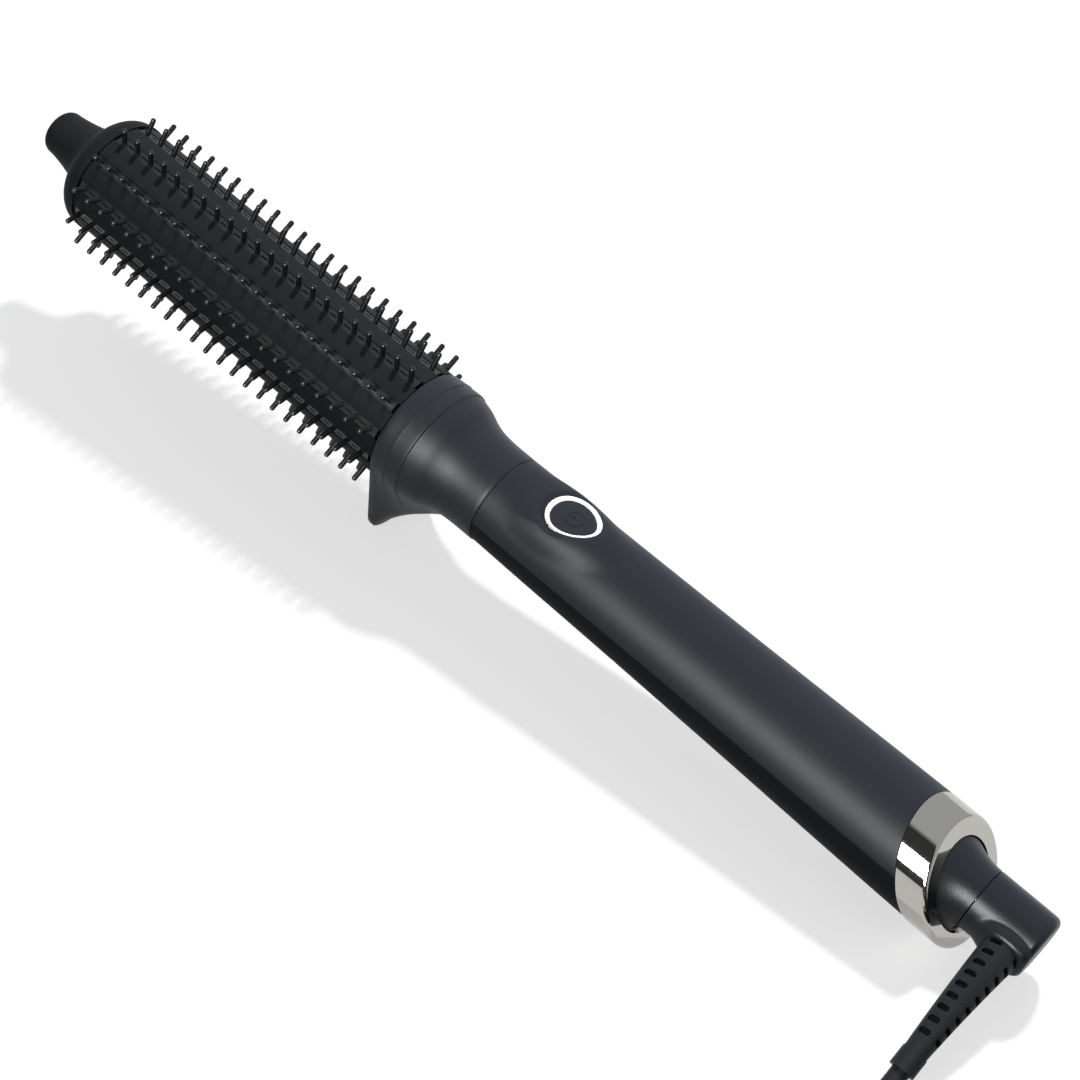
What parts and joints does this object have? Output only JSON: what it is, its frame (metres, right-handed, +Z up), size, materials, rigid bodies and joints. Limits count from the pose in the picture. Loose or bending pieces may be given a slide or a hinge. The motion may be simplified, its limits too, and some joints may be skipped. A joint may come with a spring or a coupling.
{
  "type": "heated styling brush",
  "caption": "Heated round styling brush with rows of rigid pins, a resting foot, a sprung power button in a light ring and a cord on a swivel.",
  "frame": {"origin": "on the surface that the brush rests on, under the middle of its bounding box without the cord", "axes": "+X along the brush from the tip to the cord end, +Z up; the axis of the brush tilts 5.83 degrees, tip up, as it rests on its foot and its end ring"},
  "size_m": [0.4418, 0.1068, 0.0644],
  "materials": {
    "moulded_plastic": "satin",
    "heat_proof_strip": "satin",
    "coated_aluminium": "satin black ceramic coat",
    "bare_aluminium": "as cut",
    "plated_ring": "polished nickel tone",
    "steel_fastener": "plated",
    "ceramic": "matte",
    "component": "matte",
    "board_laminate": "gloss",
    "light_guide": "translucent white",
    "cord_rubber": "matte",
    "lead_sleeve": "matte",
    "brass_contact": "plain",
    "engineering_plastic": "matte"
  },
  "bodies": {
    "brush": {"tip_cap": "moulded_plastic", "front_plug": "engineering_plastic", "tip_screw": "steel_fastener", "barrel_tube": "coated_aluminium", "pin_strip_01": "heat_proof_strip", "pin_strip_02": "heat_proof_strip", "pin_strip_03": "heat_proof_strip", "pin_strip_04": "heat_proof_strip", "pin_strip_05": "heat_proof_strip", "pin_strip_06": "heat_proof_strip", "pin_strip_07": "heat_proof_strip", "pin_strip_08": "heat_proof_strip", "pin_strip_09": "heat_proof_strip", "pin_strip_10": "heat_proof_strip", "pin_strip_11": "heat_proof_strip", "pin_strip_12": "heat_proof_strip", "heat_spreader_upper": "bare_aluminium", "heat_spreader_lower": "bare_aluminium", "ceramic_heater": "ceramic", "heater_sheets": "ceramic", "thermal_fuse": "component", "heat_sensor": "component", "barrel_holder": "engineering_plastic", "collar": "moulded_plastic", "handle_top_shell": "moulded_plastic", "handle_bottom_shell": "moulded_plastic", "shell_screws": "steel_fastener", "light_ring": "light_guide", "circuit_board": "board_laminate", "board_screws": "steel_fastener", "switch_body": "component", "indicator_lights": "component", "control_chip": "component", "power_switch": "component", "capacitor": "component", "heater_leads": "lead_sleeve", "mains_leads": "lead_sleeve", "end_ring": "plated_ring", "swivel_neck": "moulded_plastic", "swivel_bushing": "engineering_plastic", "track_plate": "board_laminate", "contact_tracks": "brass_contact"},
    "button": {"power_button": "moulded_plastic", "switch_plunger": "component"},
    "swivel": {"swivel_cap": "moulded_plastic", "swivel_shaft": "moulded_plastic", "retaining_clip": "steel_fastener", "contact_carrier": "engineering_plastic", "contact_springs": "brass_contact", "swivel_leads": "lead_sleeve", "strain_relief": "cord_rubber", "cord_run": "cord_rubber", "cord_coil": "cord_rubber", "cord_tail": "cord_rubber", "plug_sleeve": "cord_rubber", "plug_body": "moulded_plastic", "plug_pins": "brass_contact"}
  },
  "joints": [
    {"name": "swivel_turn", "type": "hinge", "parent": "brush", "child": "swivel", "pos_m": [0.13756, 0, 0.01584], "axis": [0.9948, 0, -0.1016], "continuous": true},
    {"name": "power_press", "type": "slide", "parent": "brush", "child": "button", "axis": [-0.1016, 0, -0.9948], "range_m": [0, 0.0006], "stiffness_N_per_m": 1500}
  ]
}
